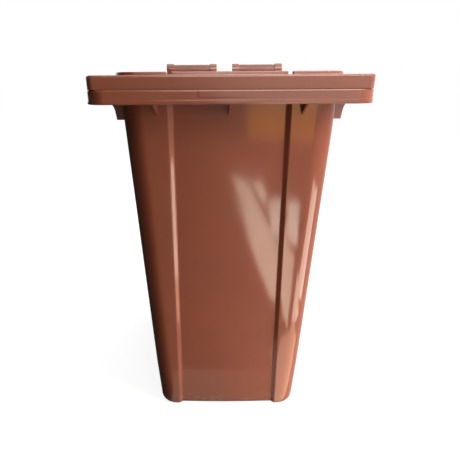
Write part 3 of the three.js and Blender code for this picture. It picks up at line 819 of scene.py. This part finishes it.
def axle_clip():
    """Push-on clip: a dished ring round the axle."""
    inner = AXLE_RADIUS + 0.1
    start = BARREL_END + 4.5
    outline = [(inner, start + 1.5), (inner + 3, start), (inner + 6, start), (inner + 6, start + 1.2),
               (inner + 3.4, start + 1.2), (inner, start + 2.7)]
    return ring("clip", outline, 0.25)


def hub_cap():
    """Snap-in cap with a shallow dish in its face."""
    rim = CAP_RADIUS
    low, high = box_mm("hub_cap_right")
    face, inside = high.x, CAP_SEAT + 6
    outline = [(0, face - 1.6), (rim - 14, face - 1.6), (rim - 12, face), (rim - 8, face),
               (rim - 1, face - 2), (rim + 3, face - 7.6), (rim + 3, CAP_SEAT + GAP),
               (rim, CAP_SEAT + GAP), (rim, low.x), (rim - 3, low.x), (rim - 3, inside - 2),
               (rim - 8, inside), (0, inside)]
    return rounded_pin("cap", outline, 0.9, AXLE_Y, AXLE_Z, 96)


def axle():
    return plain_pin("axle", AXLE_RADIUS, -AXLE_HIGH.x, AXLE_HIGH.x, 1.2, AXLE_Y, AXLE_Z, 64)


def chip_plug():
    """Disc with a raised edge round its face."""
    low, high = CHIP_LOW.z, CHIP_HIGH.z
    rounded = soften([(ON_AXIS, low + 1.5), (CHIP_RADIUS - 3, low + 1.5), (CHIP_RADIUS - 2.4, low),
                      (CHIP_RADIUS, low), (CHIP_RADIUS, high), (ON_AXIS, high)], 0.5)
    return chip_disc("plug", [(0, low + 1.5)] + rounded[4:-4] + [(0, high)])


# ---------- materials

def linear(r, g, b):
    """Linear colour from an 8-bit display colour."""
    def channel(value):
        value /= 255
        return value / 12.92 if value <= 0.04045 else ((value + 0.055) / 1.055) ** 2.4
    return (channel(r), channel(g), channel(b), 1)


def fill(node, values):
    """Sets a node's sockets by name."""
    for name, value in values.items():
        node.inputs[name].default_value = value


def map_range(tree, value, low, high, to_low, to_high):
    """Node that maps a value from one range to another, clamped."""
    node = tree.nodes.new("ShaderNodeMapRange")
    fill(node, {"From Min": low, "From Max": high, "To Min": to_low, "To Max": to_high})
    tree.links.new(value, node.inputs["Value"])
    return node


class Shader:
    """Small helper round a material's node tree."""

    def __init__(self, name):
        self.material = bpy.data.materials.new(name)
        self.material.use_nodes = True
        self.tree = self.material.node_tree
        self.principled = self.tree.nodes["Principled BSDF"]
        self.place = self.tree.nodes.new("ShaderNodeTexCoord").outputs["Object"]

    def link(self, source, target):
        self.tree.links.new(source, target)

    def scaled(self, scale):
        """Object coordinates stretched along each axis."""
        node = self.tree.nodes.new("ShaderNodeMapping")
        node.inputs["Scale"].default_value = scale
        self.link(self.place, node.inputs["Vector"])
        return node.outputs["Vector"]

    def noise(self, scale, detail, roughness=0.55, vector=None, distortion=0.0):
        node = self.tree.nodes.new("ShaderNodeTexNoise")
        fill(node, {"Scale": scale, "Detail": detail, "Roughness": roughness, "Distortion": distortion})
        self.link(vector or self.place, node.inputs["Vector"])
        return node.outputs["Fac"]

    def cells(self, scale):
        node = self.tree.nodes.new("ShaderNodeTexVoronoi")
        node.inputs["Scale"].default_value = scale
        self.link(self.place, node.inputs["Vector"])
        return node.outputs["Distance"]

    def span(self, value, low, high, to_low=0.0, to_high=1.0):
        return map_range(self.tree, value, low, high, to_low, to_high).outputs["Result"]

    def feed(self, value, socket):
        """Sets a socket to a number or a colour, or links an output to it."""
        if isinstance(value, (int, float, tuple)):
            socket.default_value = value
        else:
            self.link(value, socket)

    def maths(self, operation, a, b):
        node = self.tree.nodes.new("ShaderNodeMath")
        node.operation = operation
        self.feed(a, node.inputs[0])
        self.feed(b, node.inputs[1])
        return node.outputs[0]

    def blend(self, factor, a, b):
        """Mix of two colours by a factor."""
        node = self.tree.nodes.new("ShaderNodeMix")
        node.data_type = "RGBA"
        self.link(factor, node.inputs[0])
        self.feed(a, node.inputs[6])
        self.feed(b, node.inputs[7])
        return node.outputs[2]

    def bump(self, height, distance, below=None):
        """Normal tilted by a height, on top of another normal if one is given; distance is in metres."""
        node = self.tree.nodes.new("ShaderNodeBump")
        fill(node, {"Distance": distance, "Strength": 1.0})
        self.link(height, node.inputs["Height"])
        if below is not None:
            self.link(below, node.inputs["Normal"])
        return node.outputs["Normal"]

    def height_above(self):
        node = self.tree.nodes.new("ShaderNodeSeparateXYZ")
        self.link(self.place, node.inputs[0])
        return node.outputs["Z"]

    def finish(self, colour, roughness, normal):
        self.link(colour, self.principled.inputs["Base Color"])
        self.link(roughness, self.principled.inputs["Roughness"])
        self.link(normal, self.principled.inputs["Normal"])
        return self.material


def tinted(colour, change):
    """A colour with a change made to each of its channels, and full alpha."""
    return tuple(change(c) for c in colour[:3]) + (1,)


def moulded(name, colour, gloss, grain, wave, scuffs=0.0, marks=0.16, uneven=0.055):
    """Moulded plastic: clouded colour, fine grain, slow waves in the surface, fine scratches and scuffs.

    gloss is the middle roughness; grain and wave are bump heights in metres; scuffs is how worn the foot
    is, marks how pale the scratches are, and uneven how much the roughness varies.
    """
    s = Shader(name)
    fill(s.principled, {"Specular IOR Level": 0.5, "IOR": 1.5})
    deep = tinted(colour, lambda c: c * 0.95)
    pale = tinted(colour, lambda c: min(c * 1.05, 1))
    dusty = tinted(colour, lambda c: mix(c, 0.42, 0.45))
    clouds = s.span(s.noise(5.5, 4, 0.6), 0.32, 0.68)
    speckle = s.span(s.noise(700, 2, 0.5), 0.62, 0.8)
    tone = s.blend(clouds, deep, pale)
    tone = s.blend(s.maths("MULTIPLY", speckle, 0.05), tone, dusty)
    fine = s.span(s.noise(60, 6, 0.7, s.scaled((14, 14, 1.2)), 0.6), 0.66, 0.74)
    cross = s.span(s.noise(55, 6, 0.7, s.scaled((1.5, 10, 16)), 0.8), 0.69, 0.76)
    patchy = s.span(s.noise(9, 3, 0.6), 0.45, 0.7)
    scratches = s.maths("MULTIPLY", s.maths("MAXIMUM", fine, cross), patchy)
    tone = s.blend(s.maths("MULTIPLY", scratches, marks), tone, dusty)
    if scuffs:
        foot = s.span(s.height_above(), 0.06, 0.0)
        rubbed = s.span(s.noise(38, 8, 0.75, s.scaled((1, 1, 2.4))), 0.5, 0.66)
        worn = s.maths("MULTIPLY", s.maths("MULTIPLY", foot, rubbed), scuffs)
        tone = s.blend(worn, tone, dusty)
        scratches = s.maths("MAXIMUM", scratches, worn)
    haze = s.span(s.noise(16, 5, 0.62), 0.15, 0.85, gloss - uneven, gloss + uneven)
    roughness = s.maths("ADD", haze, s.maths("MULTIPLY", scratches, marks * 1.4))
    slow = s.bump(s.noise(7.5, 1.5, 0.4), wave)
    fine_grain = s.bump(s.noise(1150, 2, 0.5), grain, slow)
    return s.finish(tone, roughness, fine_grain)


def rubber(name, colour):
    """Tyre rubber: a fine pitted surface with dust lying on it."""
    s = Shader(name)
    s.principled.inputs["Specular IOR Level"].default_value = 0.35
    grey = tinted(colour, lambda c: mix(c, 0.3, 0.3))
    dust = s.span(s.noise(34, 7, 0.7), 0.46, 0.72)
    speck = s.span(s.cells(900), 0.1, 0.5)
    tone = s.blend(s.maths("MULTIPLY", dust, 0.35), colour, grey)
    roughness = s.span(dust, 0, 1, 0.62, 0.88)
    normal = s.bump(speck, 0.00012, s.bump(s.noise(120, 4), 0.0002))
    return s.finish(tone, roughness, normal)


def zinc(name, colour):
    """Zinc-plated steel: fine turning marks along the axle and dull spangles."""
    s = Shader(name)
    s.principled.inputs["Metallic"].default_value = 1.0
    dull = tinted(colour, lambda c: c * 0.66)
    spangle = s.span(s.cells(110), 0.1, 0.7)
    tarnish = s.span(s.noise(26, 5, 0.6), 0.42, 0.7)
    tone = s.blend(tarnish, s.blend(spangle, colour, tinted(colour, lambda c: c * 0.88)), dull)
    marks = s.noise(90, 3, 0.6, s.scaled((14, 1, 1)))
    roughness = s.span(marks, 0.2, 0.8, 0.26, 0.46)
    return s.finish(tone, roughness, s.bump(marks, 0.00005))


brown_body = moulded("brown_body", linear(125, 66, 45), 0.105, 0.00001, 0.0008, scuffs=0.4, marks=0.08)
brown_lid = moulded("brown_lid", linear(123, 66, 45), 0.26, 0.00001, 0.0003, marks=0.02, uneven=0.01)
brown_pin = moulded("brown_pin", linear(120, 61, 41), 0.34, 0.00003, 0.0002)
brown_grip = moulded("brown_grip", linear(112, 60, 43), 0.42, 0.00006, 0.0002)
black_sleeve = moulded("black_sleeve", linear(30, 30, 31), 0.38, 0.00004, 0.0002)
black_hub = moulded("black_hub", linear(34, 34, 35), 0.36, 0.00005, 0.0003)
black_cap = moulded("black_cap", linear(28, 28, 29), 0.28, 0.00004, 0.0003)
nylon = moulded("nylon", linear(196, 192, 180), 0.34, 0.00002, 0.0002)
tyre_rubber = rubber("tyre_rubber", linear(32, 32, 33))
steel = zinc("zinc_steel", (0.62, 0.63, 0.65, 1))


# ---------- pieces

dress(build_body(), "body_moulding", "bin", ["bin_body"], brown_body)
dress(build_lid(), "lid_moulding", "lid", ["lid"], brown_lid)
dress(hinge_pin_centre(), "centre_pin", "bin", ["hinge_pin_centre"], brown_pin)
dress(axle(), "axle_bar", "bin", ["axle"], steel)
dress(chip_plug(), "chip_plug", "bin", ["chip_nest_plug"], black_sleeve)

# maker, name, body, CAD node, slot, material and angle of the pieces that come right and left
PAIRS = [
    (hinge_pin_outer, "headed_pin", "bin", "hinge_pin", "pin_plastic", brown_pin, 48),
    (handle_bar, "grip_bar", "bin", "handle_bar", "grip_plastic", brown_grip, 60),
    (spacer_sleeve, "sleeve", "bin", "spacer_sleeve", "black_plastic", black_sleeve, 48),
    (axle_washer, "washer", "bin", "axle_washer", "steel", steel, 48),
    (axle_clip, "clip", "bin", "axle_clip", "steel", steel, 48),
    (tyre, "rubber_tyre", "wheel", "tyre", "rubber", tyre_rubber, 60),
    (wheel_hub, "hub", "wheel", "wheel_hub", "wheel_plastic", black_hub, 48),
    (hub_bush, "bush", "wheel", "hub_bush", "bush_nylon", nylon, 48),
    (hub_cap, "cap", "wheel", "hub_cap", "black_plastic", black_cap, 48),
]
for make, piece_name, body, node, slot, material, angle in PAIRS:
    right, left = both(make())
    for side, piece in (("right", right), ("left", left)):
        carrier = f"wheel_{side}" if body == "wheel" else body
        dress(piece, f"{piece_name}_{side}", carrier, [f"{node}_{side}"], material, angle)


# ---------- stage, lights and camera

def stage_object(name, mesh, material):
    """An object beside the bin that doesn't light it and casts no shadow."""
    obj = bpy.data.objects.new(name, mesh)
    bpy.context.scene.collection.objects.link(obj)
    mesh.materials.append(material)
    obj.visible_diffuse = False
    obj.visible_shadow = False
    return obj


def glowing(name, colour, strength):
    """Material that only gives light."""
    material = bpy.data.materials.new(name)
    material.use_nodes = True
    tree = material.node_tree
    tree.nodes.remove(tree.nodes["Principled BSDF"])
    glow = tree.nodes.new("ShaderNodeEmission")
    fill(glow, {"Color": (*colour, 1), "Strength": strength})
    tree.links.new(glow.outputs[0], tree.nodes["Material Output"].inputs["Surface"])
    return material


def smooth_span(tree, socket, low, high, to_low, to_high):
    """Result of a mapped range with a smooth start and end."""
    node = map_range(tree, socket, low, high, to_low, to_high)
    node.interpolation_type = "SMOOTHSTEP"
    return node.outputs["Result"]


def stage_floor():
    """Pale floor that only the camera sees; it shows the bin's soft shadow and glows with painted light,
    from 0.84 near the bin up to 1.0 far off.
    """
    size = 40
    corners = [(-size, -size, 0), (size, -size, 0), (size, size, 0), (-size, size, 0)]
    mesh = bpy.data.meshes.new("floor")
    mesh.from_pydata(corners, [], [(0, 1, 2, 3)])
    material = bpy.data.materials.new("floor")
    material.use_nodes = True
    tree = material.node_tree
    shader = tree.nodes["Principled BSDF"]
    fill(shader, {"Base Color": (0.28, 0.28, 0.28, 1), "Roughness": 0.9, "Specular IOR Level": 0.0,
                  "Emission Color": (1, 1, 1, 1)})
    place = tree.nodes.new("ShaderNodeTexCoord")
    away = tree.nodes.new("ShaderNodeVectorMath")
    away.operation = "LENGTH"
    tree.links.new(place.outputs["Object"], away.inputs[0])
    # painted light: the floor glows by itself, weaker near the bin and full white from 2.2 m away
    painted_floor_glow = smooth_span(tree, away.outputs["Value"], 0.5, 2.2, 0.84, 1.0)
    tree.links.new(painted_floor_glow, shader.inputs["Emission Strength"])
    floor = stage_object("floor", mesh, material)
    floor.visible_glossy = False


def stage_backdrop():
    """White dome behind everything, seen only by the camera."""
    mesh = bpy.data.meshes.new("backdrop")
    ball = bmesh.new()
    bmesh.ops.create_uvsphere(ball, u_segments=48, v_segments=24, radius=38)
    ball.to_mesh(mesh)
    ball.free()
    dome = stage_object("backdrop", mesh, glowing("backdrop", (1, 1, 1), 1.0))
    dome.visible_glossy = False


def studio_world():
    """Surroundings that show in the gloss only, bright to the right and above, dim to the left."""
    world = bpy.data.worlds.new("studio")
    bpy.context.scene.world = world
    world.use_nodes = True
    tree = world.node_tree
    background = tree.nodes["Background"]
    place = tree.nodes.new("ShaderNodeTexCoord")
    split = tree.nodes.new("ShaderNodeSeparateXYZ")
    tree.links.new(place.outputs["Generated"], split.inputs[0])
    sideways = smooth_span(tree, split.outputs["X"], -0.55, 0.45, 0.04, 1.35)
    upright = smooth_span(tree, split.outputs["Z"], -0.22, -0.02, 0.5, 1.0)
    product = tree.nodes.new("ShaderNodeMath")
    product.operation = "MULTIPLY"
    tree.links.new(sideways, product.inputs[0])
    tree.links.new(upright, product.inputs[1])
    tree.links.new(product.outputs[0], background.inputs["Strength"])
    background.inputs["Color"].default_value = (1.0, 0.97, 0.94, 1)
    world.cycles_visibility.diffuse = False


def area_light(name, place, aim, size, radiance, colour=(1, 1, 1), diffuse=True, glossy=True):
    """Rectangular soft light, never seen by the camera; radiance is its brightness beside a white of 1."""
    data = bpy.data.lights.new(name, "AREA")
    data.shape = "RECTANGLE"
    data.size, data.size_y = size
    data.energy = radiance * math.pi * size[0] * size[1]
    data.color = colour
    light = bpy.data.objects.new(name, data)
    light.location = place
    light.rotation_euler = (Vector(aim) - Vector(place)).to_track_quat("-Z", "Y").to_euler()
    light.visible_camera = False
    light.visible_diffuse = diffuse
    light.visible_glossy = glossy
    bpy.context.scene.collection.objects.link(light)


def floor_patch(name, corners, radiance, colour):
    """Bright patch of floor in front of the bin, which shows only in its gloss."""
    mesh = bpy.data.meshes.new(name)
    mesh.from_pydata([(x, y, 0.002) for x, y in corners], [], [tuple(range(len(corners)))])
    patch = stage_object(name, mesh, glowing(name, colour, radiance))
    patch.visible_camera = False


def lights():
    """Key from the right, weaker lights all round, and the patches of sun in front."""
    daylight = (1.0, 0.95, 0.88)
    key_place, key_aim, key_size = (1.45, -0.95, 1.5), (0, -0.3, 0.6), (0.7, 1.5)
    area_light("key", key_place, key_aim, key_size, 15.2, daylight, glossy=False)
    area_light("key_gloss", key_place, key_aim, key_size, 5, daylight, diffuse=False)
    area_light("side", (0.95, -0.62, 0.08), (0.1, -0.25, 0.32), (0.6, 0.6), 6.6, (1.0, 0.88, 0.74))
    area_light("bounce", (0.3, -0.85, 0.01), (0, -0.6, 0.9), (1.2, 0.8), 1.9, (1.0, 0.93, 0.86),
               glossy=False)
    area_light("fill", (0.9, -2.9, 1.2), (0, 0, 0.5), (2.0, 2.0), 1.1)
    area_light("front_top", (0.1, -1.5, 2.3), (0, -0.35, 0.9), (1.0, 0.5), 5, (1.0, 0.95, 0.9),
               glossy=False)
    area_light("warm", (0.74, -3.3, 0.25), (0.1, -0.3, 0.85), (0.75, 0.8), 2.6, (1.0, 0.4, 0.0),
               diffuse=False)
    area_light("edge", (0.5, -1.3, 2.2), (0, -0.35, 0.95), (2.0, 0.9), 9, (1.0, 0.92, 0.84),
               diffuse=False)
    area_light("top", (0.2, 0.3, 3.0), (0, 0, 0), (2.4, 2.4), 2.4)
    area_light("rear", (0.5, 2.6, 1.6), (0, 0, 0.5), (2.0, 1.6), 3.0)
    area_light("rear_left", (-1.7, 1.5, 1.5), (0, 0, 0.5), (1.2, 1.6), 2.2)
    sun = (1.0, 0.87, 0.69)
    floor_patch("sun_left", [(0.10, -2.09), (0.23, -1.93), (0.34, -1.25), (0.36, -1.0), (0.29, -0.69),
                             (0.25, -0.52), (0.24, -0.68), (0.18, -1.08)], 7.2, sun)
    floor_patch("sun_middle", [(0.27, -1.93), (0.36, -1.93), (0.38, -1.72), (0.35, -1.5)], 7.8, sun)
    floor_patch("sun_right", [(0.40, -1.63), (0.49, -1.63), (0.42, -1.16), (0.38, -1.12),
                              (0.34, -1.28)], 8.4, (1.0, 0.93, 0.8))
    floor_patch("sun_corner", [(0.38, -0.55), (0.62, -0.32), (0.62, -0.72), (0.50, -0.86)], 7.0, sun)
    floor_patch("near_floor", [(-0.19, -0.24), (0.15, -0.24), (0.17, -0.36), (-0.19, -0.36)], 0.8,
                (1.0, 0.88, 0.76))
    floor_patch("near_right", [(0.15, -0.24), (0.5, -0.24), (0.5, -0.52), (0.22, -0.52),
                               (0.18, -0.42)], 4.2, (1.0, 0.68, 0.5))


def camera():
    """Held at lid height close in front of the bin, looking down at it."""
    data = bpy.data.cameras.new("camera")
    data.sensor_width = 36
    data.lens = 29.18
    data.shift_x = 0.0302  # the frame is cropped off centre
    data.clip_end = 200
    view = bpy.data.objects.new("camera", data)
    turn, tip, roll = math.radians(-0.31), math.radians(22.13), math.radians(-0.39)
    view.matrix_world = (Matrix.Translation((-0.0257, -1.1398, 0.9771)) @ Matrix.Rotation(-turn, 4, "Z")
                         @ Matrix.Rotation(math.pi / 2 - tip, 4, "X") @ Matrix.Rotation(roll, 4, "Z"))
    bpy.context.scene.collection.objects.link(view)
    bpy.context.scene.camera = view


stage_floor()
stage_backdrop()
studio_world()
lights()
camera()
bpy.context.scene.view_settings.view_transform = "Standard"
bpy.context.scene.view_settings.look = "None"
